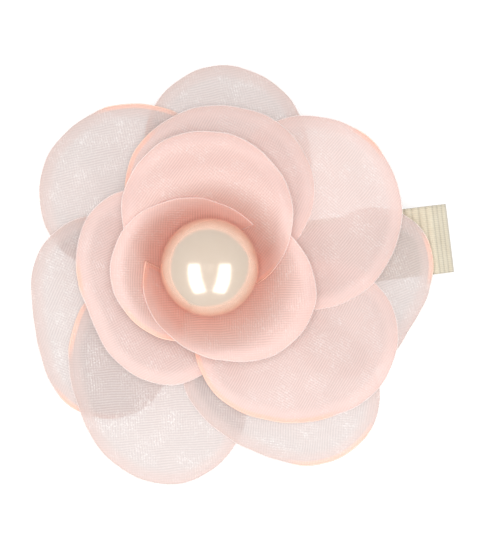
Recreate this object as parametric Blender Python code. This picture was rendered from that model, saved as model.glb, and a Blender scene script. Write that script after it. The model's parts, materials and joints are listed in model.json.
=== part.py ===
"""Flower hair clip: sheer petals and a pearl on a ribbon-covered, spring-loaded alligator clip.

+X runs along the clip to its tip, +Z is the way the flower faces, and the hinge lies along Y.
The origin is on the flat underside of the lower jaw, straight below the pearl.
"""

import math

import bmesh
import bpy
from mathutils import Vector

mm = 0.001

# Steel clip
STEEL = 0.8 * mm
JAW_TIP_BEND_X = 32.2 * mm
LIP_LENGTH = 2.7 * mm
LIP_ANGLE = math.radians(50)
HANDLE_END_X = -13.5 * mm
UPPER_WIDTH = 8.0 * mm
HANDLE_BEND_X = -2.5 * mm
HANDLE_FULL_WIDTH_X = -5.0 * mm
HANDLE_DROP = math.radians(28)
PRONG_TIP_WIDTH = 4.4 * mm
PRONG_TAPER_FROM_X = 6.0 * mm
TOOTH_COUNT = 3
TOOTH_DEPTH = 1.2 * mm
NOTCH_WIDTH = 0.6 * mm

# Hinge and spring
PIVOT_X = 1.5 * mm
PIN_RADIUS = 0.7 * mm
PIN_HEAD_RADIUS = 1.15 * mm
PIN_HEAD = 0.5 * mm
EAR = 0.7 * mm
SPRING_WIRE = 0.6 * mm
SPRING_PITCH = 0.75 * mm

# Ribbon, felt and glue
RIBBON_OVERHANG = 1.0 * mm
RIBBON = 0.4 * mm
RIBBON_START_X = 8.0 * mm
RIBBON_TAIL = 6.0 * mm
FELT = 1.2 * mm
FELT_RADIUS = 14.0 * mm
CORE_RADIUS = 3.7 * mm

# Pearl and petals
PEARL_RADIUS = 7.0 * mm
PEARL_LIFT = 7.0 * mm
FLOWER_TURN = math.radians(-7)
PETAL = 0.3 * mm
OUTER_SCALE = 1.0
MIDDLE_SCALE = 1.0
INNER_SCALE = 1.0
OUTER_BASE = 1.2 * mm
OUTER_RISE = 3.6 * mm
OUTER_DROOP = 3.0 * mm
MIDDLE_LIFT = 2.6 * mm
MIDDLE_RISE = 2.6 * mm
MIDDLE_DROOP = 2.0 * mm
INNER_LIFT = 2.7 * mm
INNER_RISE = 5.2 * mm
INNER_CURL = 1.2 * mm
TUCK = 1.0 * mm

# Clearances
SEAT_GAP = 0.3 * mm
PIN_PLAY = 0.15 * mm
SIDE_PLAY = 0.3 * mm
COIL_PLAY = 0.2 * mm
LEG_GAP = 1.0 * mm

# Mesh steps
RIM_STEPS = 22
REACH_STEPS = 6
TURN_STEPS = 12

# Sizes and heights that follow from those above
JAW_GAP = 2 * (PIN_RADIUS + SPRING_WIRE + 2 * COIL_PLAY)
PRONG_WIDTH = UPPER_WIDTH - 2 * (EAR + SIDE_PLAY)
RIBBON_WIDTH = UPPER_WIDTH + 2 * RIBBON_OVERHANG
PRONG_TOP = STEEL
UPPER_UNDERSIDE = PRONG_TOP + JAW_GAP
UPPER_MID = UPPER_UNDERSIDE + STEEL / 2
PIVOT_Z = PRONG_TOP + JAW_GAP / 2
RIBBON_OFFSET = STEEL / 2 + SEAT_GAP + RIBBON / 2
RIBBON_TOP = UPPER_MID + RIBBON_OFFSET + RIBBON / 2
GRIP_FACE = UPPER_MID - RIBBON_OFFSET - RIBBON / 2
FELT_BOTTOM = RIBBON_TOP + SEAT_GAP
FELT_TOP = FELT_BOTTOM + FELT
EAR_RADIUS = JAW_GAP / 2 - SEAT_GAP
PETAL_START = CORE_RADIUS + SEAT_GAP
PEARL_Z = FELT_TOP + PEARL_LIFT + PEARL_RADIUS

# One row a petal, in the flower's own frame, anticlockwise: centre and radius of the cut disc in mm,
# how much longer it is one way and which way that is, and the part of its rim that stands free.
OUTER_PETALS = (
    (2.5, 16.4, 12.3, 0.04, 111, -56, 219),
    (-11.5, 11.2, 12.7, 0.04, 19, 0, 272),
    (-15.5, -7.2, 12.2, 0.20, 99, 70, 330),
    (-7.4, -15.8, 14.0, 0.12, 107, 118, 372),
    (10.2, -16.2, 12.9, 0.15, 153, 172, 430),
    (21.6, -3.6, 10.9, 0.18, 60, 224, 470),
)
MIDDLE_PETALS = (
    (14.1, 7.8, 13.7, 0.02, 81, -120, 178),
    (1.4, 10.9, 12.9, 0.05, 2, -60, 215),
    (-7.8, -2.7, 12.3, 0.17, 111, 70, 312),
    (12.4, -10.2, 13.3, 0.10, 3, 172, 424),
)
INNER_PETALS = (
    (-0.3, 7.5, 12.0, 0.02, 153, -62, 222),
    (-2.7, -0.4, 10.8, 0.05, 179, 36, 262),
    (2.8, -2.6, 11.5, 0.08, 163, 164, 402),
)
OUTER_FIRST_SEAT = math.radians(75)
MIDDLE_FIRST_SEAT = math.radians(22)
INNER_FIRST_SEAT = math.radians(48)


def clear_scene():
    for old in list(bpy.data.objects):
        bpy.data.objects.remove(old, do_unlink=True)


def finish(name, colour, roughness, metallic=0.0):
    material = bpy.data.materials.new(name)
    material.use_nodes = True
    shader = material.node_tree.nodes["Principled BSDF"]
    shader.inputs["Base Color"].default_value = (*colour, 1.0)
    shader.inputs["Roughness"].default_value = roughness
    shader.inputs["Metallic"].default_value = metallic
    return material


def place(name, mesh, material, at=(0, 0, 0), parent=None):
    obj = bpy.data.objects.new(name, mesh)
    bpy.context.scene.collection.objects.link(obj)
    obj.parent = parent
    obj.location = Vector(at) - (parent.location if parent else Vector())
    if material:
        mesh.materials.append(material)
    return obj


def mesh_from(name, points, faces):
    mesh = bpy.data.meshes.new(name)
    mesh.from_pydata([tuple(p) for p in points], [], faces)
    shape = bmesh.new()
    shape.from_mesh(mesh)
    bmesh.ops.recalc_face_normals(shape, faces=shape.faces)
    shape.to_mesh(mesh)
    shape.free()
    mesh.update()
    return mesh


def smooth(obj, angle=40):
    obj.data.shade_smooth()
    obj.data.set_sharp_from_angle(angle=math.radians(angle))
    return obj


def ease(value, low, high):
    t = min(max((value - low) / (high - low), 0.0), 1.0)
    return t * t * (3 - 2 * t)


# ---- strips bent from sheet or ribbon ----------------------------------------------------------


def beside(path, distance):
    """The path moved sideways in its XZ plane, to its left for a positive distance, with mitred corners."""
    moved = []
    for i, (x, z) in enumerate(path):
        before = Vector(path[i]) - Vector(path[i - 1]) if i else None
        after = Vector(path[i + 1]) - Vector(path[i]) if i < len(path) - 1 else None
        first = (before or after).normalized()
        second = (after or before).normalized()
        normal = Vector((-first.y - second.y, first.x + second.x)).normalized()
        stretch = normal.dot(Vector((-first.y, first.x)))
        moved.append((x + normal.x * distance / stretch, z + normal.y * distance / stretch))
    return moved


def arc(centre, radius, start, end, steps):
    turns = [start + (end - start) * i / steps for i in range(steps + 1)]
    return [(centre[0] + radius * math.cos(a), centre[1] + radius * math.sin(a)) for a in turns]


def strip_mesh(name, path, thickness, half_width):
    """A strip of even thickness along an XZ path. half_width gives half its width at each x."""
    left = beside(path, thickness / 2)
    right = beside(path, -thickness / 2)
    points = []
    for (x, _), a, b in zip(path, left, right):
        half = half_width(x)
        points += [(a[0], -half, a[1]), (b[0], -half, b[1]), (b[0], half, b[1]), (a[0], half, a[1])]
    faces = [(0, 1, 2, 3), tuple(len(points) - k for k in (1, 2, 3, 4))]
    for i in range(len(path) - 1):
        near = 4 * i
        faces += [(near + k, near + (k + 1) % 4, near + 4 + (k + 1) % 4, near + 4 + k) for k in range(4)]
    return mesh_from(name, points, faces)


def cross_bar(name, centre_x, centre_z, radius, half_length, steps=32):
    """A round bar along Y, used as a cutter."""
    ring = arc((centre_x, centre_z), radius, 0, math.tau * (steps - 1) / steps, steps - 1)
    points = [(x, side * half_length, z) for side in (-1, 1) for x, z in ring]
    faces = [tuple(range(steps)), tuple(range(steps, 2 * steps))]
    faces += [(i, (i + 1) % steps, steps + (i + 1) % steps, steps + i) for i in range(steps)]
    return mesh_from(name, points, faces)


def boolean(obj, operation, mesh):
    helper = place(mesh.name, mesh, None, obj.location)
    helper.parent = obj.parent
    helper.location = obj.location
    helper.hide_render = True
    helper.display_type = "WIRE"
    modifier = obj.modifiers.new(mesh.name, "BOOLEAN")
    modifier.operation = operation
    modifier.solver = "EXACT"
    modifier.object = helper


# ---- clip ---------------------------------------------------------------------------------------


def ear_pair(name, outer_face, root_z, way):
    """Two ears that stand on a lever and end round the pivot. way is +1 when they stand up."""
    inner_face = outer_face - EAR
    rounding = arc((PIVOT_X, PIVOT_Z), EAR_RADIUS, 0, way * math.pi, 10)
    outline = [(PIVOT_X + EAR_RADIUS, root_z)] + rounding + [(PIVOT_X - EAR_RADIUS, root_z)]
    count = len(outline)
    points = []
    faces = []
    for side in (-1, 1):
        start = len(points)
        points += [(x, side * inner_face, z) for x, z in outline]
        points += [(x, side * outer_face, z) for x, z in outline]
        faces += [tuple(range(start, start + count)), tuple(range(start + count, start + 2 * count))]
        faces += [
            (start + i, start + (i + 1) % count, start + count + (i + 1) % count, start + count + i)
            for i in range(count)
        ]
    return mesh_from(name, points, faces)


def upper_path():
    lip = (
        JAW_TIP_BEND_X + LIP_LENGTH * math.cos(LIP_ANGLE),
        UPPER_MID - LIP_LENGTH * math.sin(LIP_ANGLE),
    )
    return [(HANDLE_END_X, UPPER_MID), (JAW_TIP_BEND_X, UPPER_MID), lip]


def make_upper_jaw(steel):
    plate = strip_mesh("upper_jaw", upper_path(), STEEL, lambda x: UPPER_WIDTH / 2)
    jaw = place("upper_jaw", plate, steel)
    boolean(jaw, "UNION", ear_pair("upper_ears", UPPER_WIDTH / 2, UPPER_MID, -1))
    boolean(jaw, "DIFFERENCE", cross_bar("upper_bore", PIVOT_X, PIVOT_Z, PIN_RADIUS + PIN_PLAY, UPPER_WIDTH))
    return jaw


def prong_half_width(x):
    if x <= HANDLE_FULL_WIDTH_X:
        return UPPER_WIDTH / 2
    if x <= HANDLE_BEND_X:
        share = (x - HANDLE_BEND_X) / (HANDLE_FULL_WIDTH_X - HANDLE_BEND_X)
        return (PRONG_WIDTH + (UPPER_WIDTH - PRONG_WIDTH) * share) / 2
    share = max(0.0, (x - PRONG_TAPER_FROM_X) / (prong_tip_x() - PRONG_TAPER_FROM_X))
    return (PRONG_WIDTH + (PRONG_TIP_WIDTH - PRONG_WIDTH) * share) / 2


def prong_tip_x():
    """The teeth stand clear of the ribbon where it follows the upper jaw's lip."""
    inner_corner = JAW_TIP_BEND_X - (RIBBON_OFFSET + RIBBON / 2) * math.tan(LIP_ANGLE / 2)
    return inner_corner - SEAT_GAP - STEEL / 2


def handle_slope(x):
    return STEEL / 2 - (HANDLE_BEND_X - x) * math.tan(HANDLE_DROP)


def make_lower_jaw(steel, hinge):
    path = [
        (HANDLE_END_X, handle_slope(HANDLE_END_X)),
        (HANDLE_FULL_WIDTH_X, handle_slope(HANDLE_FULL_WIDTH_X)),
        (HANDLE_BEND_X, STEEL / 2),
        (PRONG_TAPER_FROM_X, STEEL / 2),
        (prong_tip_x(), STEEL / 2),
        (prong_tip_x(), GRIP_FACE - SEAT_GAP),
    ]
    plate = strip_mesh("lower_jaw", path, STEEL, prong_half_width)
    ears = ear_pair("lower_ears", PRONG_WIDTH / 2, STEEL / 2, 1)
    bore = cross_bar("lower_bore", PIVOT_X, PIVOT_Z, PIN_RADIUS + PIN_PLAY, UPPER_WIDTH)
    notches = tooth_notches()
    for mesh in (plate, ears, bore, notches):
        for vertex in mesh.vertices:
            vertex.co -= hinge.location
    jaw = place("lower_jaw", plate, steel, hinge.location, hinge)
    boolean(jaw, "UNION", ears)
    boolean(jaw, "DIFFERENCE", bore)
    boolean(jaw, "DIFFERENCE", notches)
    return jaw


def tooth_notches():
    top = GRIP_FACE - SEAT_GAP
    pitch = PRONG_TIP_WIDTH / TOOTH_COUNT
    points = []
    faces = []
    for gap in range(1, TOOTH_COUNT):
        middle = -PRONG_TIP_WIDTH / 2 + gap * pitch
        start = len(points)
        for x in (prong_tip_x() - STEEL, prong_tip_x() + STEEL):
            points += [
                (x, middle - NOTCH_WIDTH / 2, top + STEEL),
                (x, middle - NOTCH_WIDTH / 4, top - TOOTH_DEPTH),
                (x, middle + NOTCH_WIDTH / 4, top - TOOTH_DEPTH),
                (x, middle + NOTCH_WIDTH / 2, top + STEEL),
            ]
        faces += [tuple(range(start, start + 4)), tuple(range(start + 4, start + 8))]
        faces += [(start + k, start + (k + 1) % 4, start + 4 + (k + 1) % 4, start + 4 + k) for k in range(4)]
    return mesh_from("tooth_notches", points, faces)


def make_pin(steel):
    """A plain pin with a flattened head at each end, turned about Y."""
    head_from = UPPER_WIDTH / 2 + SEAT_GAP
    head_to = head_from + PIN_HEAD
    profile = [(0, -head_to), (PIN_HEAD_RADIUS, -head_to), (PIN_HEAD_RADIUS, -head_from), (PIN_RADIUS, -head_from)]
    profile += [(PIN_RADIUS, head_from), (PIN_HEAD_RADIUS, head_from), (PIN_HEAD_RADIUS, head_to), (0, head_to)]
    return smooth(place("hinge_pin", turned_mesh("hinge_pin", profile, 24, "Y"), steel, (PIVOT_X, 0, PIVOT_Z)))


def turned_mesh(name, profile, steps, axis="Z"):
    """A profile of (radius, height) points, closed on the axis at both ends, turned about Y or Z."""
    points = []
    faces = []
    inner = profile[1:-1]
    for radius, height in inner:
        for x, y in arc((0, 0), radius, 0, math.tau * (steps - 1) / steps, steps - 1):
            points.append((x, y, height))
    for i in range(len(inner) - 1):
        for k in range(steps):
            following = (k + 1) % steps
            faces.append((i * steps + k, i * steps + following, (i + 1) * steps + following, (i + 1) * steps + k))
    for row, height in ((0, profile[0][1]), (len(inner) - 1, profile[-1][1])):
        points.append((0, 0, height))
        pole = len(points) - 1
        faces += [(row * steps + k, row * steps + (k + 1) % steps, pole) for k in range(steps)]
    if axis == "Y":
        points = [(x, z, y) for x, y, z in points]
    return mesh_from(name, points, faces)


def make_spring(steel):
    """Coil round the pin, one leg under the upper handle and one along the lower handle."""
    radius = PIN_RADIUS + COIL_PLAY + SPRING_WIRE / 2
    half = PRONG_WIDTH / 2 - EAR - SIDE_PLAY - SPRING_WIRE / 2
    leg_end = HANDLE_END_X + RIBBON_TAIL + LEG_GAP
    route = [(leg_end, -half, PIVOT_Z + radius), ((leg_end + PIVOT_X) / 2, -half, PIVOT_Z + radius)]
    turns = int(2 * half / SPRING_PITCH - 0.5) + 0.5
    steps = int(turns * TURN_STEPS)
    for i in range(steps + 1):
        angle = math.pi / 2 - math.tau * turns * i / steps
        y = -half + 2 * half * i / steps
        route.append((PIVOT_X + radius * math.cos(angle), y, PIVOT_Z + radius * math.sin(angle)))
    clear = STEEL / 2 + SPRING_WIRE / 2 + COIL_PLAY
    bend_x = HANDLE_BEND_X - clear * math.tan(HANDLE_DROP / 2)
    bend_z = PIVOT_Z - radius
    route += [(bend_x, half, bend_z), (leg_end, half, bend_z - (bend_x - leg_end) * math.tan(HANDLE_DROP))]

    curve = bpy.data.curves.new("torsion_spring", "CURVE")
    curve.dimensions = "3D"
    curve.bevel_depth = SPRING_WIRE / 2
    curve.bevel_resolution = 2
    curve.use_fill_caps = True
    spline = curve.splines.new("POLY")
    spline.points.add(len(route) - 1)
    for point, (x, y, z) in zip(spline.points, route):
        point.co = (x - PIVOT_X, y, z - PIVOT_Z, 1)
    return place("torsion_spring", curve, steel, (PIVOT_X, 0, PIVOT_Z))


# ---- ribbon, felt, glue and pearl ---------------------------------------------------------------


def make_ribbon(cloth):
    """One strip: under the upper jaw, round its lip, back along the top and round the handle's end."""
    handle_end, bend, lip = upper_path()
    top = beside([handle_end, bend, lip], RIBBON_OFFSET)
    under = beside([handle_end, bend, lip], -RIBBON_OFFSET)
    nose = arc(lip, RIBBON_OFFSET, -math.pi / 2 - LIP_ANGLE, math.pi / 2 - LIP_ANGLE, 6)
    heel = arc(handle_end, RIBBON_OFFSET, math.pi / 2, 3 * math.pi / 2, 6)
    path = [(RIBBON_START_X, under[0][1]), under[1]] + nose + [top[1]] + heel
    path.append((HANDLE_END_X + RIBBON_TAIL, under[0][1]))
    return place("ribbon_cover", strip_mesh("ribbon_cover", path, RIBBON, lambda x: RIBBON_WIDTH / 2), cloth)


def make_felt(cloth):
    profile = [(0, 0), (FELT_RADIUS, 0), (FELT_RADIUS, FELT), (0, FELT)]
    return smooth(place("felt_pad", turned_mesh("felt_pad", profile, 48), cloth, (0, 0, FELT_BOTTOM)))


def make_core(glue):
    """Set glue that holds the petals' gathered ends, dished where the pearl sits in it."""
    dish = PEARL_RADIUS + SEAT_GAP
    profile = [(0, FELT_TOP + SEAT_GAP), (CORE_RADIUS, FELT_TOP + SEAT_GAP)]
    for share in (1.0, 0.75, 0.5, 0.25, 0.0):
        radius = CORE_RADIUS * share
        profile.append((radius, PEARL_Z - math.sqrt(dish * dish - radius * radius)))
    return smooth(place("glue_core", turned_mesh("glue_core", profile, 32), glue))


def make_pearl(gloss):
    shape = bmesh.new()
    bmesh.ops.create_uvsphere(shape, u_segments=36, v_segments=18, radius=PEARL_RADIUS)
    mesh = bpy.data.meshes.new("pearl")
    shape.to_mesh(mesh)
    shape.free()
    return smooth(place("pearl", mesh, gloss, (0, 0, PEARL_Z)), 60)


# ---- petals -------------------------------------------------------------------------------------


def outer_height(radius):
    rise = OUTER_RISE * ease(radius, PETAL_START, 18 * mm * OUTER_SCALE)
    droop = OUTER_DROOP * ease(radius, 22 * mm * OUTER_SCALE, 34 * mm * OUTER_SCALE)
    return FELT_TOP + OUTER_BASE + rise - droop


def middle_height(radius):
    rise = MIDDLE_RISE * ease(radius, PETAL_START, 14 * mm * MIDDLE_SCALE)
    droop = MIDDLE_DROOP * ease(radius, 18 * mm * MIDDLE_SCALE, 28 * mm * MIDDLE_SCALE)
    return outer_height(radius) + MIDDLE_LIFT + rise - droop


def inner_height(radius):
    rise = INNER_RISE * ease(radius, 6 * mm * INNER_SCALE, 12.5 * mm * INNER_SCALE)
    curl = INNER_CURL * ease(radius, 13 * mm * INNER_SCALE, 17 * mm * INNER_SCALE)
    return middle_height(radius) + INNER_LIFT + rise - curl


def turn_between(angle, reference):
    return (angle - reference + math.pi) % math.tau - math.pi


def petal_mesh(name, row, scale, seat, count, height):
    """A petal fanned out from the core. It sinks anticlockwise, so it tucks in below its neighbour."""
    centre_x, centre_y, radius, stretch, stretch_way, rim_from, rim_to = row
    corners = []
    for degrees in (rim_from, rim_to):
        corners.append(rim_point(row, scale, math.radians(degrees)))
    first = math.atan2(corners[0].y, corners[0].x)
    sweep = (math.atan2(corners[1].y, corners[1].x) - first) % math.tau
    points = []
    for layer in (1, -1):
        for i in range(RIM_STEPS + 1):
            share = i / RIM_STEPS
            rim = rim_point(row, scale, math.radians(rim_from + (rim_to - rim_from) * share))
            base_angle = first + sweep * (0.15 + 0.7 * share)
            base = Vector((math.cos(base_angle), math.sin(base_angle))) * PETAL_START
            for j in range(REACH_STEPS + 1):
                spot = base.lerp(rim, j / REACH_STEPS)
                tilt = turn_between(math.atan2(spot.y, spot.x), seat) * TUCK * count / math.tau
                z = height(spot.length) - tilt + layer * PETAL / 2
                points.append((*turned(spot), z))
    row_size = REACH_STEPS + 1
    side = (RIM_STEPS + 1) * row_size
    faces = []
    for i in range(RIM_STEPS):
        for j in range(REACH_STEPS):
            a = i * row_size + j
            quad = (a, a + 1, a + 1 + row_size, a + row_size)
            faces += [quad, tuple(side + k for k in reversed(quad))]
    border = [j for j in range(row_size)]
    border += [i * row_size + REACH_STEPS for i in range(1, RIM_STEPS + 1)]
    border += [RIM_STEPS * row_size + j for j in reversed(range(REACH_STEPS))]
    border += [i * row_size for i in reversed(range(1, RIM_STEPS))]
    for a, b in zip(border, border[1:] + border[:1]):
        faces.append((a, b, side + b, side + a))
    return mesh_from(name, points, faces)


def rim_point(row, scale, angle):
    centre_x, centre_y, radius, stretch, stretch_way = row[:5]
    reach = radius * (1 + stretch * math.cos(2 * (angle - math.radians(stretch_way))))
    spot = Vector((centre_x + reach * math.cos(angle), centre_y + reach * math.sin(angle)))
    return spot * mm * scale


def turned(spot):
    across = math.cos(FLOWER_TURN) * spot.x - math.sin(FLOWER_TURN) * spot.y
    along = math.sin(FLOWER_TURN) * spot.x + math.cos(FLOWER_TURN) * spot.y
    return across, along


def make_petals(layer, rows, scale, first_seat, height, cloth):
    for i, row in enumerate(rows):
        name = f"{layer}_petal_{i + 1}"
        seat = first_seat + math.tau * i / len(rows)
        smooth(place(name, petal_mesh(name, row, scale, seat, len(rows), height), cloth), 50)


# ---- assembly -----------------------------------------------------------------------------------


def build():
    clear_scene()
    steel = finish("nickel_steel", (0.62, 0.61, 0.59), 0.28, 1.0)
    wire = finish("spring_steel", (0.45, 0.45, 0.46), 0.35, 1.0)
    grosgrain = finish("ivory_grosgrain", (0.90, 0.88, 0.72), 0.75)
    felt = finish("white_felt", (0.92, 0.90, 0.86), 0.95)
    glue = finish("clear_glue", (0.93, 0.86, 0.78), 0.4)
    gloss = finish("ivory_pearl", (0.93, 0.86, 0.76), 0.12)
    organza = finish("pink_organza", (0.96, 0.76, 0.72), 0.6)

    hinge = bpy.data.objects.new("jaw_hinge", None)
    bpy.context.scene.collection.objects.link(hinge)
    hinge.location = (PIVOT_X, 0, PIVOT_Z)

    make_upper_jaw(steel)
    make_lower_jaw(steel, hinge)
    make_pin(steel)
    make_spring(wire)
    make_ribbon(grosgrain)
    make_felt(felt)
    make_core(glue)
    make_pearl(gloss)
    make_petals("outer", OUTER_PETALS, OUTER_SCALE, OUTER_FIRST_SEAT, outer_height, organza)
    make_petals("middle", MIDDLE_PETALS, MIDDLE_SCALE, MIDDLE_FIRST_SEAT, middle_height, organza)
    make_petals("inner", INNER_PETALS, INNER_SCALE, INNER_FIRST_SEAT, inner_height, organza)


build()
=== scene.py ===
"""Flower hair clip: thirteen sheer petals and a pearl on a ribbon-covered spring clip.

+X runs along the clip to its tip and +Z is the way the flower faces. The flower's own directions are
turned a little against the clip's, as it was glued on.
"""
import collections
import json
import math

import bmesh
import bpy
import numpy as np
from mathutils import Matrix, Vector


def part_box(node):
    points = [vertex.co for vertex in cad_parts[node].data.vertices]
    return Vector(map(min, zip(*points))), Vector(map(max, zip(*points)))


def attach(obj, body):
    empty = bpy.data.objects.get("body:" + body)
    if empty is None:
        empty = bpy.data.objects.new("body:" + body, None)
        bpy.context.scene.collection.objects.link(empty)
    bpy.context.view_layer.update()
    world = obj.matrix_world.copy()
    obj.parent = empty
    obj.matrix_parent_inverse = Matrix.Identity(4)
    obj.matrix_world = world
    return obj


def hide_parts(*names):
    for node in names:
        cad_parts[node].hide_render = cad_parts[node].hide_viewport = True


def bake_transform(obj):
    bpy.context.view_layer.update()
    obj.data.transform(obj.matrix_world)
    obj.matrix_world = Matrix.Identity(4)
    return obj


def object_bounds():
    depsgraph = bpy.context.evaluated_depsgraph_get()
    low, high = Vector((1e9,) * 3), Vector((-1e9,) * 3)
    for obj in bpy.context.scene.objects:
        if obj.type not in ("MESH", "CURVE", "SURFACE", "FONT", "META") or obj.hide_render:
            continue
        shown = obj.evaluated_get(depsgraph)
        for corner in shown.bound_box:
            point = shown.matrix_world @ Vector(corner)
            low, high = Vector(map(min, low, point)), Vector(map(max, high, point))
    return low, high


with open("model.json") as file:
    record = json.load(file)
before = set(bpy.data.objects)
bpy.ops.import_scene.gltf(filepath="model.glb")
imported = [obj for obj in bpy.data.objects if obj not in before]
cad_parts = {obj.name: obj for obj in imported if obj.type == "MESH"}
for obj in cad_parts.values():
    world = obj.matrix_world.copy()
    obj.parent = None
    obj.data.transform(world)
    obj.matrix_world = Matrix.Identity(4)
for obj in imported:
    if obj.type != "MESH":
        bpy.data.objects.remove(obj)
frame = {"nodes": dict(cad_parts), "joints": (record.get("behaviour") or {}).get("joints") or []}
cad_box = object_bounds()

mm = 0.001
FLOWER = "flower_and_upper_jaw"

# ---- Camera, table and light ------------------------------------------------------------------------
# The clip lies on a white table in an even white room, seen straight from above through a long lens.
# Two tall softboxes stand on either side, a little towards the foot of the flower, and a broad lamp
# above lights the hollows between the petals. The pearl mirrors the softboxes but not the lamp.
FLOWER_TURN = math.radians(-7)
CAMERA_HEIGHT = 1.0
VIEW_HEIGHT = 78.6 * mm
VIEW_CENTRE = (4.7 * mm, -1.1 * mm)
VIEW_PLANE = 18 * mm
SENSOR = 36.0
TABLE_SIDE = 3.0
SOFTBOX_DISTANCE = 0.6
SOFTBOX_SIZE = (0.33, 0.78)
SOFTBOX_WAY = (0.52, -0.44, 0.73)
SOFTBOX_POWER = 1.2
LAMP_HEIGHT = 1.2
LAMP_ACROSS = 0.4
LAMP_POWER = 10.5
ROOM_STRENGTH = 0.56
TABLE_GLOW = 0.52


def in_scene(name, data):
    """A new object for this mesh, light or camera, put in the scene."""
    made = bpy.data.objects.new(name, data)
    bpy.context.scene.collection.objects.link(made)
    return made


def flower_to_clip(x, y):
    """A place in the flower's own directions, turned to the clip's."""
    return (
        math.cos(FLOWER_TURN) * x - math.sin(FLOWER_TURN) * y,
        math.sin(FLOWER_TURN) * x + math.cos(FLOWER_TURN) * y,
    )


camera = in_scene("camera", bpy.data.cameras.new("camera"))
camera.data.sensor_width = SENSOR
camera.data.lens = SENSOR * CAMERA_HEIGHT / VIEW_HEIGHT
camera.location = (*flower_to_clip(*VIEW_CENTRE), VIEW_PLANE + CAMERA_HEIGHT)
camera.rotation_euler = (0, 0, FLOWER_TURN)
camera.data.clip_start = 0.05
camera.data.clip_end = 20
bpy.context.scene.camera = camera
bpy.context.scene.view_settings.view_transform = "Standard"
bpy.context.scene.cycles.transparent_max_bounces = 48
bpy.context.scene.cycles.max_bounces = 16
bpy.context.scene.cycles.diffuse_bounces = 8

world = bpy.data.worlds.new("white_room")
world.use_nodes = True
room = world.node_tree.nodes["Background"]
room.inputs["Color"].default_value = (1.0, 0.99, 0.98, 1)
room.inputs["Strength"].default_value = ROOM_STRENGTH
bpy.context.scene.world = world

for side in (-1, 1):
    softbox = bpy.data.lights.new("softbox", "AREA")
    softbox.shape = "RECTANGLE"
    softbox.size, softbox.size_y = SOFTBOX_SIZE
    softbox.energy = SOFTBOX_POWER
    softbox_object = in_scene("softbox", softbox)
    across, along = flower_to_clip(side * SOFTBOX_WAY[0], SOFTBOX_WAY[1])
    facing = Vector((across, along, SOFTBOX_WAY[2])).normalized()
    upright = Vector((*flower_to_clip(0, 1), 0))
    upright = (upright - facing * upright.dot(facing)).normalized()
    turn = Matrix((upright.cross(facing), upright, facing)).transposed()
    stand = facing * SOFTBOX_DISTANCE
    softbox_object.matrix_world = Matrix.LocRotScale(stand, turn.to_quaternion(), None)
    softbox_object.visible_camera = False

front_light = bpy.data.lights.new("front_light", "AREA")
front_light.shape = "DISK"
front_light.size = LAMP_ACROSS
front_light.energy = LAMP_POWER
front_object = in_scene("front_light", front_light)
front_object.location = (0, 0, LAMP_HEIGHT)
front_object.visible_camera = False
front_object.visible_glossy = False

table_mesh = bpy.data.meshes.new("table")
half_table = TABLE_SIDE / 2
table_corners = [
    (x * half_table, y * half_table, cad_box[0].z)
    for x, y in ((-1, -1), (1, -1), (1, 1), (-1, 1))
]
table_mesh.from_pydata(table_corners, [], [(0, 1, 2, 3)])
table = in_scene("table", table_mesh)
table_paint = bpy.data.materials.new("white_table")
table_paint.use_nodes = True
table_shader = table_paint.node_tree.nodes["Principled BSDF"]
table_shader.inputs["Base Color"].default_value = (0.50, 0.50, 0.50, 1)
table_shader.inputs["Roughness"].default_value = 0.9
table_shader.inputs["Emission Color"].default_value = (1, 1, 1, 1)
table_shader.inputs["Emission Strength"].default_value = TABLE_GLOW
table_mesh.materials.append(table_paint)
table.visible_glossy = False

# ---- Jaws and hinge pin -----------------------------------------------------------------------------
# Nickel-plated spring steel strip, stamped and bent: the upper jaw with its lip, the lower jaw with
# its teeth, and the pin through their four ears, its two ends peened over into domed heads.
PIN_DOME = 0.16 * mm


def socket(group, name, kind, way="INPUT", value=None):
    """A named socket on a node group, with the value that it starts from."""
    made = group.interface.new_socket(name=name, in_out=way, socket_type=kind)
    if value is not None:
        made.default_value = value
    return made


def node(tree, kind, inputs=None, **settings):
    """A node with its settings, and its inputs set or joined by name or number."""
    made = tree.nodes.new(kind)
    for key, value in settings.items():
        setattr(made, key, value)
    for key, value in (inputs or {}).items():
        if isinstance(value, bpy.types.NodeSocket):
            tree.links.new(value, made.inputs[key])
        else:
            made.inputs[key].default_value = value
    return made


def math_node(tree, operation, *values, clamp=False):
    inputs = dict(enumerate(values))
    return node(tree, "ShaderNodeMath", inputs, operation=operation, use_clamp=clamp).outputs[0]


def ramp_between(tree, value, low, high, out_low=0.0, out_high=1.0):
    """Eases from out_low to out_high as the value goes from low to high."""
    made = node(
        tree,
        "ShaderNodeMapRange",
        {"Value": value, "From Min": low, "From Max": high, "To Min": out_low, "To Max": out_high},
        interpolation_type="SMOOTHSTEP",
    )
    return made.outputs["Result"]


def noise_at(tree, place, scale, detail, distortion=0.0):
    inputs = {"Vector": place, "Scale": scale, "Detail": detail, "Distortion": distortion}
    return node(tree, "ShaderNodeTexNoise", inputs).outputs["Fac"]


def mixed_colour(tree, factor, first, second, blend="MIX"):
    """One colour turned into another by a factor. Each may be a value or a socket."""
    made = node(tree, "ShaderNodeMix", data_type="RGBA", blend_type=blend)
    for slot_number, value in ((0, factor), (6, first), (7, second)):
        if isinstance(value, bpy.types.NodeSocket):
            tree.links.new(value, made.inputs[slot_number])
        else:
            made.inputs[slot_number].default_value = value
    return made.outputs[2]


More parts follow.
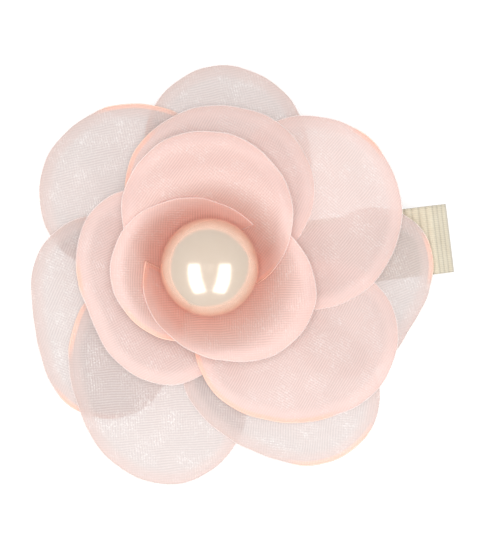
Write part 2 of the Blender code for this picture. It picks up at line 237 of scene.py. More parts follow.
def make_rubbed_group():
    """Plated metal that has been handled: fine rubbed streaks and cloudy patches."""
    group = bpy.data.node_groups.new("rubbed metal", "ShaderNodeTree")
    socket(group, "Place", "NodeSocketVector")
    socket(group, "Streak Stretch", "NodeSocketFloat", value=12.0)
    socket(group, "Streaks", "NodeSocketFloat", "OUTPUT")
    socket(group, "Clouds", "NodeSocketFloat", "OUTPUT")
    start = group.nodes.new("NodeGroupInput")
    end = group.nodes.new("NodeGroupOutput")
    parts = node(group, "ShaderNodeSeparateXYZ", {"Vector": start.outputs["Place"]})
    long_way = math_node(group, "DIVIDE", parts.outputs["X"], start.outputs["Streak Stretch"])
    drawn = node(group, "ShaderNodeCombineXYZ", {0: long_way, 1: parts.outputs["Y"], 2: parts.outputs["Z"]})
    group.links.new(noise_at(group, drawn.outputs[0], 6000.0, 3.0), end.inputs["Streaks"])
    group.links.new(noise_at(group, start.outputs["Place"], 350.0, 4.0), end.inputs["Clouds"])
    return group


rubbed_group = make_rubbed_group()


def new_material(name, roughness):
    """A material with its tree and its shader, which has this roughness all over."""
    material = bpy.data.materials.new(name)
    material.use_nodes = True
    shader = material.node_tree.nodes["Principled BSDF"]
    shader.inputs["Roughness"].default_value = roughness
    return material, material.node_tree, shader


def object_place(tree):
    return node(tree, "ShaderNodeTexCoord").outputs["Object"]


def mottled(tree, shader, factor, first, second):
    """The surface's own colour, mottled from one shade to another."""
    tree.links.new(mixed_colour(tree, factor, (*first, 1), (*second, 1)), shader.inputs["Base Color"])


def roughened(tree, shader, height, strength, depth):
    """A fine relief on the surface."""
    bump = node(tree, "ShaderNodeBump", {"Height": height, "Strength": strength, "Distance": depth})
    tree.links.new(bump.outputs["Normal"], shader.inputs["Normal"])


def plated(name, bright, dull, smooth_roughness, worn_roughness):
    """Plated steel with cloudy patches in its colour and its gloss, and rubbed streaks in its gloss and its
    surface.
    """
    material, tree, shader = new_material(name, smooth_roughness)
    rubbed = node(tree, "ShaderNodeGroup", node_tree=rubbed_group)
    tree.links.new(object_place(tree), rubbed.inputs["Place"])
    mottled(tree, shader, rubbed.outputs["Clouds"], bright, dull)
    worn = math_node(tree, "MULTIPLY", rubbed.outputs["Clouds"], rubbed.outputs["Streaks"])
    roughness = ramp_between(tree, worn, 0.1, 0.4, smooth_roughness, worn_roughness)
    tree.links.new(roughness, shader.inputs["Roughness"])
    roughened(tree, shader, rubbed.outputs["Streaks"], 0.25, 0.01 * mm)
    shader.inputs["Metallic"].default_value = 1.0
    return material


nickel_plate = plated("nickel_plate", (0.78, 0.76, 0.73), (0.62, 0.60, 0.57), 0.18, 0.42)
for name in ("upper_jaw", "lower_jaw"):
    for material_slot in frame["nodes"][name].material_slots:
        material_slot.material = nickel_plate


def turned_mesh(name, profile, steps):
    """A closed profile of (radius, height) turned about the Z axis. Its ends lie on the axis."""
    shape = bmesh.new()
    rings = []
    for radius, height in profile:
        if radius == 0:
            rings.append([shape.verts.new((0, 0, height))])
        else:
            turns = [math.tau * k / steps for k in range(steps)]
            spots = [(radius * math.cos(a), radius * math.sin(a), height) for a in turns]
            rings.append([shape.verts.new(spot) for spot in spots])
    for low, high in zip(rings, rings[1:]):
        for k in range(steps):
            corners = [low[k % len(low)], low[(k + 1) % len(low)]]
            corners += [high[(k + 1) % len(high)], high[k % len(high)]]
            shape.faces.new(list(dict.fromkeys(corners)))
    bmesh.ops.recalc_face_normals(shape, faces=shape.faces)
    mesh = bpy.data.meshes.new(name)
    shape.to_mesh(mesh)
    shape.free()
    mesh.shade_smooth()
    mesh.set_sharp_from_angle(angle=math.radians(50))
    return mesh


def added(name, mesh, material, replaced, at=(0, 0, 0)):
    """A finished piece on the flower's body, in place of the plain solid that it replaces."""
    mesh.transform(Matrix.Translation(at))
    mesh.materials.append(material)
    piece = in_scene(name, mesh)
    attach(piece, FLOWER)
    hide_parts(replaced)
    return piece


pin_low, pin_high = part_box("hinge_pin")
PIN_HEAD_RADIUS = (pin_high.z - pin_low.z) / 2
PIN_RADIUS = 0.7 * mm
PIN_HEAD = 0.5 * mm
PIN_LENGTH = pin_high.y - pin_low.y
PIVOT = Vector(frame["joints"][0]["pos_m"])
pin_end = [(0, 0), (PIN_HEAD_RADIUS * 0.55, 0.03 * mm), (PIN_HEAD_RADIUS * 0.85, PIN_DOME)]
pin_end += [(PIN_HEAD_RADIUS, PIN_DOME * 2), (PIN_HEAD_RADIUS, PIN_HEAD), (PIN_RADIUS, PIN_HEAD)]
pin_profile = pin_end + [(radius, PIN_LENGTH - height) for radius, height in reversed(pin_end)]
pin_mesh = turned_mesh("pin", pin_profile, 40)
pin_mesh.transform(Matrix.Translation((0, 0, -PIN_LENGTH / 2)))
pin_mesh.transform(Matrix.Rotation(math.radians(90), 4, "X"))
added("peened_pin", pin_mesh, nickel_plate, "hinge_pin", at=PIVOT)

# ---- Spring -----------------------------------------------------------------------------------------
# Hard-drawn music wire wound round the pin: four and a half turns with a leg under each handle, which
# it keeps apart. The real spring twists as the jaw opens; this wire is one fixed shape.
SPRING_WIRE = 0.6 * mm
SPRING_RADIUS = PIN_RADIUS + 0.2 * mm + SPRING_WIRE / 2
SPRING_HALF = 1.7 * mm
SPRING_TURNS = 4.5
SPRING_LEG_END_X = -6.5 * mm
SPRING_BEND = 0.4 * mm
TURN_STEPS = 40
HANDLE_BEND_X = -2.72 * mm
HANDLE_DROP = math.radians(28)


def dressed(tree, start, end, shape):
    """Ends a growing tree: its shape made real and given its finish."""
    whole = node(tree, "GeometryNodeRealizeInstances", {"Geometry": shape})
    finish = {"Geometry": whole.outputs[0], "Material": start.outputs["Finish"]}
    tree.links.new(node(tree, "GeometryNodeSetMaterial", finish).outputs[0], end.inputs[0])


def make_wire_tree():
    """A round bar along a line of edges: uneven in thickness by Burr, and closed at both ends."""
    tree = bpy.data.node_groups.new("wire along a line", "GeometryNodeTree")
    socket(tree, "Line", "NodeSocketGeometry")
    socket(tree, "Radius", "NodeSocketFloat", value=0.1 * mm)
    socket(tree, "Burr", "NodeSocketFloat", value=0.0)
    socket(tree, "Burr Scale", "NodeSocketFloat", value=1400.0)
    socket(tree, "Seed", "NodeSocketFloat", value=0.0)
    socket(tree, "Spacing", "NodeSocketFloat", value=0.2 * mm)
    socket(tree, "Sides", "NodeSocketInt", value=6)
    socket(tree, "Finish", "NodeSocketMaterial")
    socket(tree, "Wire", "NodeSocketGeometry", "OUTPUT")
    start = tree.nodes.new("NodeGroupInput")
    end = tree.nodes.new("NodeGroupOutput")
    line = node(tree, "GeometryNodeMeshToCurve", {"Mesh": start.outputs["Line"]})
    spaced = {"Curve": line.outputs[0], "Length": start.outputs["Spacing"]}
    even = node(tree, "GeometryNodeResampleCurve", spaced, mode="LENGTH")
    place = tree.nodes.new("GeometryNodeInputPosition").outputs[0]
    uneven = {"Vector": place, "W": start.outputs["Seed"], "Detail": 1.0}
    uneven["Scale"] = start.outputs["Burr Scale"]
    burr = node(tree, "ShaderNodeTexNoise", uneven, noise_dimensions="4D").outputs["Fac"]
    swell = math_node(tree, "MULTIPLY_ADD", burr, start.outputs["Burr"], start.outputs["Radius"])
    ring = {"Resolution": start.outputs["Sides"], "Radius": 1.0}
    profile = node(tree, "GeometryNodeCurvePrimitiveCircle", ring)
    bar = node(
        tree,
        "GeometryNodeCurveToMesh",
        {"Curve": even.outputs[0], "Profile Curve": profile.outputs[0], "Scale": swell, "Fill Caps": True},
    )
    dressed(tree, start, end, bar.outputs[0])
    return tree


wire_tree = make_wire_tree()


def grown(name, source_mesh, tree, **inputs):
    """The mesh that a Geometry Nodes tree makes from a source mesh, as a plain object."""
    grower = in_scene(name + "_source", source_mesh)
    modifier = grower.modifiers.new("grow", "NODES")
    modifier.node_group = tree
    items = tree.interface.items_tree
    keys = {item.name: item.identifier for item in items if item.in_out == "INPUT"}
    for key, value in inputs.items():
        modifier[keys[key]] = value
    evaluated = grower.evaluated_get(bpy.context.evaluated_depsgraph_get())
    mesh = bpy.data.meshes.new_from_object(evaluated)
    mesh.name = name
    bpy.data.objects.remove(grower, do_unlink=True)
    mesh.shade_smooth()
    return in_scene(name, mesh)


def line_mesh(name, points):
    """A mesh of edges alone, from point to point."""
    mesh = bpy.data.meshes.new(name)
    mesh.from_pydata([tuple(p) for p in points], [(i, i + 1) for i in range(len(points) - 1)], [])
    return mesh


spring_steel = plated("spring_steel", (0.60, 0.59, 0.58), (0.45, 0.44, 0.43), 0.22, 0.5)
spring_route = [(SPRING_LEG_END_X, -SPRING_HALF, PIVOT.z + SPRING_RADIUS)]
spring_steps = int(SPRING_TURNS * TURN_STEPS)
for k in range(spring_steps + 1):
    turn = math.pi / 2 - math.tau * SPRING_TURNS * k / spring_steps
    across = -SPRING_HALF + 2 * SPRING_HALF * k / spring_steps
    coil_x = PIVOT.x + SPRING_RADIUS * math.cos(turn)
    spring_route.append((coil_x, across, PIVOT.z + SPRING_RADIUS * math.sin(turn)))
for share in (0.0, 0.25, 0.5, 0.75, 1.0):
    bend_x = HANDLE_BEND_X + SPRING_BEND * (1 - 2 * share)
    bend_drop = SPRING_BEND * math.tan(HANDLE_DROP) * share**2
    spring_route.append((bend_x, SPRING_HALF, PIVOT.z - SPRING_RADIUS - bend_drop))
spring_run = HANDLE_BEND_X - SPRING_BEND - SPRING_LEG_END_X
spring_foot = spring_route[-1][2] - spring_run * math.tan(HANDLE_DROP)
spring_route.append((SPRING_LEG_END_X, SPRING_HALF, spring_foot))
spring = grown(
    "wound_spring",
    line_mesh("spring_line", spring_route),
    wire_tree,
    Radius=SPRING_WIRE / 2,
    Spacing=0.15 * mm,
    Sides=16,
    Finish=spring_steel,
)
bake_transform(spring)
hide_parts("torsion_spring")

# ---- Ribbon -----------------------------------------------------------------------------------------
# Ivory grosgrain, ten millimetres wide: a cord-like rib across it at every millimetre, and woven
# edges. One strip goes under the upper jaw, round its lip, back along the top and round its handle.
RIBBON = 0.30 * mm
RIB_PITCH = 1.02 * mm
RIB_HEIGHT = 0.11 * mm
YARN_PITCH = 0.30 * mm
SELVEDGE = 0.1 * mm
RIBBON_STEP = 0.12 * mm
RIBBON_OFFSET = 0.9 * mm
RIBBON_START_X = 8 * mm
RIBBON_TAIL = 6 * mm
LIP_LENGTH = 2.7 * mm
LIP_ANGLE = math.radians(50)
ribbon_low, ribbon_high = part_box("ribbon_cover")
RIBBON_OUT = 1.1 * mm
JAW_MIDDLE_Z = ribbon_high.z - RIBBON_OUT
HANDLE_END_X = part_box("upper_jaw")[0].x
LIP_END_X = ribbon_high.x - RIBBON_OUT
JAW_BEND_X = LIP_END_X - LIP_LENGTH * math.cos(LIP_ANGLE)


def ribbon_arc(centre, start, end, steps=10):
    """The ribbon's way round an end of the jaw, as (x, z) points."""
    turns = np.linspace(start, end, steps + 1)
    x, z = centre
    return [(x + RIBBON_OFFSET * math.cos(a), z + RIBBON_OFFSET * math.sin(a)) for a in turns]


def evenly(path, step):
    """Points at even steps along a path, and how far along it each is."""
    path = np.array(path)
    lengths = np.concatenate([[0], np.cumsum(np.linalg.norm(np.diff(path, axis=0), axis=1))])
    along = np.linspace(0, lengths[-1], int(lengths[-1] / step) + 1)
    return np.stack([np.interp(along, lengths, path[:, k]) for k in (0, 1)], -1), along


lip_end = (LIP_END_X, JAW_MIDDLE_Z - LIP_LENGTH * math.sin(LIP_ANGLE))
handle_end = (HANDLE_END_X, JAW_MIDDLE_Z)
mitre = RIBBON_OFFSET * math.tan(LIP_ANGLE / 2)
under_z = JAW_MIDDLE_Z - RIBBON_OFFSET
ribbon_path = [(RIBBON_START_X, under_z), (JAW_BEND_X - mitre, under_z)]
ribbon_path += ribbon_arc(lip_end, -math.pi / 2 - LIP_ANGLE, math.pi / 2 - LIP_ANGLE)
ribbon_path.append((JAW_BEND_X + mitre, JAW_MIDDLE_Z + RIBBON_OFFSET))
ribbon_path += ribbon_arc(handle_end, math.pi / 2, 3 * math.pi / 2)
ribbon_path.append((HANDLE_END_X + RIBBON_TAIL, under_z))
ribbon_line, ribbon_along = evenly(ribbon_path, RIBBON_STEP)
RIBBON_WIDTH = round(ribbon_high.y - ribbon_low.y, 5)

ribbon_turn = np.gradient(ribbon_line, axis=0)
ribbon_turn /= np.linalg.norm(ribbon_turn, axis=1)[:, None]
ribbon_side = np.stack([-ribbon_turn[:, 1], ribbon_turn[:, 0]], -1)
half_across = np.linspace(-1, 1, 25) * (RIBBON_WIDTH / 2 - SELVEDGE)
loop = [(y, -RIBBON / 2) for y in half_across] + [(y, RIBBON / 2) for y in half_across[::-1]]
ribbon_points = [
    (line[0] + side[0] * off, y, line[1] + side[1] * off)
    for line, side in zip(ribbon_line, ribbon_side)
    for y, off in loop
]
loop_size = len(loop)
ribbon_faces = []
for low_start in range(0, (len(ribbon_line) - 1) * loop_size, loop_size):
    high_start = low_start + loop_size
    for k in range(loop_size):
        after = (k + 1) % loop_size
        ribbon_faces.append((low_start + k, low_start + after, high_start + after, high_start + k))
ribbon_faces.append(tuple(range(loop_size)))
ribbon_faces.append(tuple(len(ribbon_points) - 1 - k for k in range(loop_size)))


def closed_mesh(name, points, faces):
    """A mesh whose faces all look outward."""
    mesh = bpy.data.meshes.new(name)
    mesh.from_pydata(points, [], faces)
    shape = bmesh.new()
    shape.from_mesh(mesh)
    bmesh.ops.recalc_face_normals(shape, faces=shape.faces)
    shape.to_mesh(mesh)
    shape.free()
    return mesh


def point_values(mesh, name, values):
    """Keeps one value for each point of a mesh, for its material or its growing tree."""
    made = mesh.attributes.new(name, "FLOAT", "POINT")
    made.data.foreach_set("value", values.astype(np.float32))


ribbon_mesh = closed_mesh("ribbon_strip", ribbon_points, ribbon_faces)
point_values(ribbon_mesh, "along", np.repeat(ribbon_along, loop_size))

grosgrain, ribbon_tree, ribbon_shader = new_material("grosgrain", 0.55)
ribbon_far = node(ribbon_tree, "ShaderNodeAttribute", attribute_name="along").outputs["Fac"]
ribbon_place = object_place(ribbon_tree)
ribbon_parts = node(ribbon_tree, "ShaderNodeSeparateXYZ", {"Vector": ribbon_place})
rib_turn = math_node(ribbon_tree, "MULTIPLY", ribbon_far, math.pi / RIB_PITCH)
rib_wave = math_node(ribbon_tree, "ABSOLUTE", math_node(ribbon_tree, "SINE", rib_turn))
yarn_turn = math_node(ribbon_tree, "MULTIPLY", ribbon_parts.outputs["Y"], math.tau / YARN_PITCH)
yarn = math_node(ribbon_tree, "MULTIPLY_ADD", math_node(ribbon_tree, "SINE", yarn_turn), 0.5, 0.5)
ribbon_stain = noise_at(ribbon_tree, ribbon_place, 400.0, 3.0)
cream = mixed_colour(ribbon_tree, ribbon_stain, (0.57, 0.50, 0.375, 1), (0.67, 0.62, 0.49, 1))
# Painted shade: the cream is darkened in the grooves between the ribs. The yarn lines are the weave's own
# pattern.
groove_painted_shade = ramp_between(ribbon_tree, rib_wave, 0.0, 0.8, 0.80, 1.0)
on_yarn = math_node(ribbon_tree, "MULTIPLY_ADD", yarn, 0.12, 0.88)
groove_shade_and_yarns = math_node(ribbon_tree, "MULTIPLY", groove_painted_shade, on_yarn)
shaded_cream = mixed_colour(ribbon_tree, 1.0, cream, groove_shade_and_yarns, "MULTIPLY")
ribbon_tree.links.new(shaded_cream, ribbon_shader.inputs["Base Color"])
roughened(ribbon_tree, ribbon_shader, yarn, 0.5, 0.05 * mm)
ribbon_shader.inputs["Sheen Weight"].default_value = 0.2


def make_rib_tree():
    """Swells a strip into round ribs across its length, by how far along it each point is."""
    tree = bpy.data.node_groups.new("ribs across a strip", "GeometryNodeTree")
    socket(tree, "Strip", "NodeSocketGeometry")
    socket(tree, "Rib Pitch", "NodeSocketFloat", value=RIB_PITCH)
    socket(tree, "Rib Height", "NodeSocketFloat", value=RIB_HEIGHT)
    socket(tree, "Finish", "NodeSocketMaterial")
    socket(tree, "Ribbed", "NodeSocketGeometry", "OUTPUT")
    start = tree.nodes.new("NodeGroupInput")
    end = tree.nodes.new("NodeGroupOutput")
    far = node(tree, "GeometryNodeInputNamedAttribute", {"Name": "along"}, data_type="FLOAT").outputs[0]
    turn = math_node(tree, "DIVIDE", math.pi, start.outputs["Rib Pitch"])
    wave = math_node(tree, "SINE", math_node(tree, "MULTIPLY", far, turn))
    round_rib = math_node(tree, "POWER", math_node(tree, "ABSOLUTE", wave), 0.6)
    lift = math_node(tree, "MULTIPLY", round_rib, start.outputs["Rib Height"])
    facing = tree.nodes.new("GeometryNodeInputNormal").outputs[0]
    outward = node(tree, "ShaderNodeVectorMath", {0: facing, "Scale": lift}, operation="SCALE")
    swelling = {"Geometry": start.outputs["Strip"], "Offset": outward.outputs[0]}
    swollen = node(tree, "GeometryNodeSetPosition", swelling)
    dressed(tree, start, end, swollen.outputs[0])
    return tree


ribbon = grown("grosgrain_ribbon", ribbon_mesh, make_rib_tree(), Finish=grosgrain)
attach(ribbon, FLOWER)
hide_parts("ribbon_cover")

# ---- Felt pad ---------------------------------------------------------------------------------------
# A round of ivory craft felt, punched out and glued between the ribbon and the flower. Its cut edge
# is a little softer than its faces, and loose fibres stand out of it.
felt_low, felt_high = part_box("felt_pad")
FELT_RADIUS = (felt_high.x - felt_low.x) / 2 - 0.15 * mm
FELT_THICKNESS = felt_high.z - felt_low.z
FELT_EDGE = 0.25 * mm
FIBRE_LENGTH = 1.1 * mm
FIBRE_RADIUS = 0.012 * mm
FIBRE_DENSITY = 0.9e6

felt_profile = [(0, 0)] + [(FELT_RADIUS * k / 12, 0) for k in range(1, 12)]
felt_profile += [(FELT_RADIUS - FELT_EDGE, 0), (FELT_RADIUS - FELT_EDGE * 0.3, FELT_EDGE * 0.3)]
felt_profile.append((FELT_RADIUS, FELT_EDGE))
felt_profile += [(radius, FELT_THICKNESS - height) for radius, height in reversed(felt_profile)]
felt_mesh = turned_mesh("felt_round", felt_profile, 96)
felt_mesh.transform(Matrix.Translation((0, 0, felt_low.z)))

felt_wool, felt_tree, felt_shader = new_material("felt_wool", 0.95)
matted = noise_at(felt_tree, object_place(felt_tree), 1500.0, 5.0, distortion=1.5)
mottled(felt_tree, felt_shader, matted, (0.72, 0.68, 0.60), (0.93, 0.91, 0.86))
roughened(felt_tree, felt_shader, matted, 0.8, 0.1 * mm)
felt_shader.inputs["Sheen Weight"].default_value = 0.4


def make_fibre_tree():
    """Short bent fibres that stand out of a surface, turned and sized at random from one seed."""
    tree = bpy.data.node_groups.new("loose fibres", "GeometryNodeTree")
    socket(tree, "Felt", "NodeSocketGeometry")
    socket(tree, "Density", "NodeSocketFloat", value=1.0)
    socket(tree, "Fibre Length", "NodeSocketFloat", value=FIBRE_LENGTH)
    socket(tree, "Fibre Radius", "NodeSocketFloat", value=FIBRE_RADIUS)
    socket(tree, "Seed", "NodeSocketInt", value=4)
    socket(tree, "Finish", "NodeSocketMaterial")
    socket(tree, "Fibres", "NodeSocketGeometry", "OUTPUT")
    start = tree.nodes.new("NodeGroupInput")
    end = tree.nodes.new("NodeGroupOutput")
    spots = node(
        tree,
        "GeometryNodeDistributePointsOnFaces",
        {"Mesh": start.outputs["Felt"], "Density": start.outputs["Density"], "Seed": start.outputs["Seed"]},
    )
    bow = {"Resolution": 4, "Radius": start.outputs["Fibre Length"], "Sweep Angle": 1.2}
    bent = node(tree, "GeometryNodeCurveArc", bow)
    ring = {"Resolution": 3, "Radius": start.outputs["Fibre Radius"]}
    profile = node(tree, "GeometryNodeCurvePrimitiveCircle", ring)
    fibre = node(
        tree,
        "GeometryNodeCurveToMesh",
        {"Curve": bent.outputs[0], "Profile Curve": profile.outputs[0], "Fill Caps": True},
    )
    moved = node(tree, "GeometryNodeTransform", {"Geometry": fibre.outputs[0]})
    back = node(tree, "ShaderNodeCombineXYZ")
    tree.links.new(math_node(tree, "MULTIPLY", start.outputs["Fibre Length"], -1.0), back.inputs[0])
    tree.links.new(back.outputs[0], moved.inputs["Translation"])
    turns = node(tree, "FunctionNodeRandomValue", {"Seed": start.outputs["Seed"]}, data_type="FLOAT_VECTOR")
    turns.inputs[0].default_value = (0, 0, 0)
    turns.inputs[1].default_value = (math.tau, math.tau, math.tau)
    sizes = node(tree, "FunctionNodeRandomValue", {"Seed": start.outputs["Seed"]}, data_type="FLOAT")
    sizes.inputs[2].default_value = 0.3
    sizes.inputs[3].default_value = 1.0
    strewn = {"Points": spots.outputs[0], "Instance": moved.outputs[0]}
    strewn |= {"Rotation": turns.outputs[0], "Scale": sizes.outputs[1]}
    dressed(tree, start, end, node(tree, "GeometryNodeInstanceOnPoints", strewn).outputs[0])
    return tree


fibre_tree = make_fibre_tree()
felt_fibres = grown("felt_fibres", felt_mesh.copy(), fibre_tree, Density=FIBRE_DENSITY, Finish=felt_wool)
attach(felt_fibres, FLOWER)
felt = added("felt_round", felt_mesh, felt_wool, "felt_pad")

# ---- Glue -------------------------------------------------------------------------------------------
# Hot glue that sets round the petals' gathered ends and in which the pearl sits: a clear amber blob,
# a little uneven, dished on top by the pearl.
core_low, core_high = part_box("glue_core")
pearl_low, pearl_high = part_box("pearl")
PEARL_RADIUS = (pearl_high.x - pearl_low.x) / 2
PEARL_CENTRE = (pearl_low + pearl_high) / 2
CORE_RADIUS = (core_high.x - core_low.x) / 2 - 0.12 * mm
DISH_RADIUS = PEARL_RADIUS + 0.3 * mm

glue_profile = [(0, core_low.z), (CORE_RADIUS * 0.5, core_low.z), (CORE_RADIUS - 0.4 * mm, core_low.z)]
glue_wall_top = PEARL_CENTRE.z - math.sqrt(DISH_RADIUS**2 - CORE_RADIUS**2)
for k in range(13):
    share = k / 12
    bulge = 0.25 * mm * math.sin(math.pi * share)
    wall_height = core_low.z + 0.2 * mm + (glue_wall_top - core_low.z - 0.3 * mm) * share
    glue_profile.append((CORE_RADIUS - 0.25 * mm + bulge * 0.9, wall_height))
for k in range(1, 9):
    radius = (CORE_RADIUS - 0.3 * mm) * (1 - k / 8)
    glue_profile.append((radius, PEARL_CENTRE.z - math.sqrt(DISH_RADIUS**2 - radius**2)))
glue_mesh = turned_mesh("set_glue", glue_profile, 64)
for vertex in glue_mesh.vertices:
    turn = math.atan2(vertex.co.y, vertex.co.x)
    vertex.co.xy *= 1 + 0.015 * math.sin(3 * turn + 900 * vertex.co.z) + 0.01 * math.sin(7 * turn)

set_glue, glue_tree, glue_shader = new_material("set_glue", 0.18)
bubbles = noise_at(glue_tree, object_place(glue_tree), 700.0, 3.0)
mottled(glue_tree, glue_shader, bubbles, (0.88, 0.78, 0.62), (0.95, 0.89, 0.78))
roughened(glue_tree, glue_shader, bubbles, 0.4, 0.2 * mm)
added("set_glue", glue_mesh, set_glue, "glue_core")

# ---- Petals ---------------------------------------------------------------------------------------
# Thirteen rounds of sheer pink satin organza, cut with heat so that each edge melts into a fine
# peach bead, pressed into shallow cups and glued round the centre in three layers.
PETAL_THICKNESS = 0.12 * mm
RIM_STEPS = 132
REACH_STEPS = 40
OUTER_BASE = 1.2 * mm
OUTER_RISE = 3.6 * mm
OUTER_DROOP = 3.0 * mm
MIDDLE_LIFT = 2.6 * mm
MIDDLE_RISE = 2.6 * mm
MIDDLE_DROOP = 2.0 * mm
INNER_LIFT = 2.7 * mm
INNER_RISE = 5.2 * mm
INNER_CURL = 1.2 * mm
TUCK = 1.0 * mm
RIM_CURL = 0.55 * mm
RIM_WIDTH = 2.2 * mm
PLEAT = 0.10 * mm
RIM_WAVE = 0.12 * mm
BEAD_RADIUS = 0.09 * mm
BEAD_BURR = 0.05 * mm
MELT_FADE = 8

FELT_TOP = felt_high.z
PETAL_START = core_high.x + 0.3 * mm

# The centre and radius of a petal's round are in mm, and ways are in degrees, anticlockwise. A petal
# is longer by stretch along stretch_way. Its rim stands free from rim_from to rim_to, and the hot
# cutter melted it most from melt_from to melt_to.
Petal = collections.namedtuple(
    "Petal", "x y radius stretch stretch_way rim_from rim_to thread_way melt_from melt_to"
)
LAYERS = {
    "outer": {
        "first_seat": 75,
        "petals": (
            Petal(2.5, 16.4, 12.3, 0.04, 111, -56, 219, 12, 150, 180),
            Petal(-11.5, 11.2, 12.7, 0.04, 19, 0, 272, 12, 60, 110),
            Petal(-15.5, -7.2, 12.2, 0.20, 99, 70, 330, 66, 240, 280),
            Petal(-7.4, -15.8, 14.0, 0.12, 107, 118, 372, 4, 135, 165),
            Petal(10.2, -16.2, 12.9, 0.15, 153, 172, 430, 84, 280, 330),
            Petal(21.6, -3.6, 10.9, 0.18, 60, 224, 470, 20, 370, 400),
        ),
    },
    "middle": {
        "first_seat": 22,
        "petals": (
            Petal(14.1, 7.8, 13.7, 0.02, 81, -120, 178, 50, 40, 60),
            Petal(1.4, 10.9, 12.9, 0.05, 2, -60, 215, 62, 139, 182),
            Petal(-7.8, -2.7, 12.3, 0.17, 111, 70, 312, 28, 165, 185),
            Petal(12.4, -10.2, 13.3, 0.10, 3, 172, 424, 60, 185, 296),
        ),
    },
    "inner": {
        "first_seat": 48,
        "petals": (
            Petal(-0.3, 7.5, 12.0, 0.02, 153, -62, 222, 52, -64, -40),
            Petal(-2.7, -0.4, 10.8, 0.05, 179, 36, 262, 88, 212, 264),
            Petal(2.8, -2.6, 11.5, 0.08, 163, 164, 402, 3, 160, 180),
        ),
    },
}


def ease(value, low, high):
    t = np.clip((value - low) / (high - low), 0, 1)
    return t * t * (3 - 2 * t)


def outer_height(radius):
    rise = OUTER_RISE * ease(radius, PETAL_START, 18 * mm)
    return FELT_TOP + OUTER_BASE + rise - OUTER_DROOP * ease(radius, 22 * mm, 34 * mm)


def middle_height(radius):
    rise = MIDDLE_RISE * ease(radius, PETAL_START, 14 * mm)
    return outer_height(radius) + MIDDLE_LIFT + rise - MIDDLE_DROOP * ease(radius, 18 * mm, 28 * mm)


def inner_height(radius):
    rise = INNER_RISE * ease(radius, 6 * mm, 12.5 * mm)
    return middle_height(radius) + INNER_LIFT + rise - INNER_CURL * ease(radius, 13 * mm, 17 * mm)


LAYER_HEIGHT = {"outer": outer_height, "middle": middle_height, "inner": inner_height}


def petal_rim(petal, angles):
    """The petal's cut edge seen from the front: a round, a little longer one way and unevenly cut."""
    longer = petal.stretch * np.cos(2 * (angles - math.radians(petal.stretch_way)))
    reach = petal.radius * (1 + longer)
    reach += 0.06 * np.sin(7 * angles + petal.x) + 0.03 * np.sin(15 * angles + petal.y)
    return np.stack([petal.x + reach * np.cos(angles), petal.y + reach * np.sin(angles)], -1) * mm


def petal_plan(petal):
    """Where each point of the petal lies seen from the front, as rows from side to side."""
    rim_from, rim_to = math.radians(petal.rim_from), math.radians(petal.rim_to)
    share = np.linspace(0, 1, RIM_STEPS + 1)
    rim = petal_rim(petal, rim_from + (rim_to - rim_from) * share)
    first = math.atan2(rim[0, 1], rim[0, 0])
    sweep = (math.atan2(rim[-1, 1], rim[-1, 0]) - first) % math.tau
    base_angle = first + sweep * (0.15 + 0.7 * share)
    base = np.stack([np.cos(base_angle), np.sin(base_angle)], -1) * PETAL_START
    out = 1 - (1 - np.linspace(0, 1, REACH_STEPS + 1)) ** 1.35
    return base[:, None] + (rim - base)[:, None] * out[None, :, None]


def round_edge(rows):
    """The points of the cut edge, which runs up one side of the petal, round and down the other."""
    return np.concatenate([rows[0, :-1], rows[:, -1], rows[-1, -2::-1]])


def distance_to_edge(plan):
    """How far each point is from the petal's cut edge."""
    outline = round_edge(plan)
    starts, runs = outline[:-1], np.diff(outline, axis=0)
    spots = plan.reshape(-1, 2)
    along = ((spots[:, None] - starts) * runs).sum(-1) / np.maximum((runs * runs).sum(-1), 1e-18)
    nearest = starts + runs * np.clip(along, 0, 1)[..., None]
    return np.linalg.norm(spots[:, None] - nearest, axis=-1).min(1).reshape(plan.shape[:2])


def petal_melt(petal):
    """How strongly the rim is melted at each step along it, from 0 to 1."""
    way = np.linspace(petal.rim_from, petal.rim_to, RIM_STEPS + 1)
    starts = ease(way, petal.melt_from - MELT_FADE, petal.melt_from + MELT_FADE)
    return starts * (1 - ease(way, petal.melt_to - MELT_FADE, petal.melt_to + MELT_FADE))


def petal_heights(layer, index, plan, edge):
    """How high each point lies: the layer's cup, tucked under on one side, pleated and curled."""
    seats = len(LAYERS[layer]["petals"])
    seat = math.radians(LAYERS[layer]["first_seat"]) + math.tau * index / seats
    radius = np.linalg.norm(plan, axis=-1)
    angle = np.arctan2(plan[..., 1], plan[..., 0])
    off_seat = (angle - seat + math.pi) % math.tau - math.pi
    height = LAYER_HEIGHT[layer](radius) - off_seat * TUCK * seats / math.tau
    pleats = 0.6 * np.sin(9 * off_seat + index) + 0.4 * np.sin(17 * off_seat + 2 * index)
    height = height + PLEAT * pleats * ease(radius, PETAL_START, 8 * mm)
    rim_wave = np.sin(6 * off_seat + 1.7 * index) * ease(-edge, -6 * mm, 0)
    curl = (1 - np.clip(edge / RIM_WIDTH, 0, 1)) ** 2
    return height + RIM_WAVE * rim_wave - RIM_CURL * curl


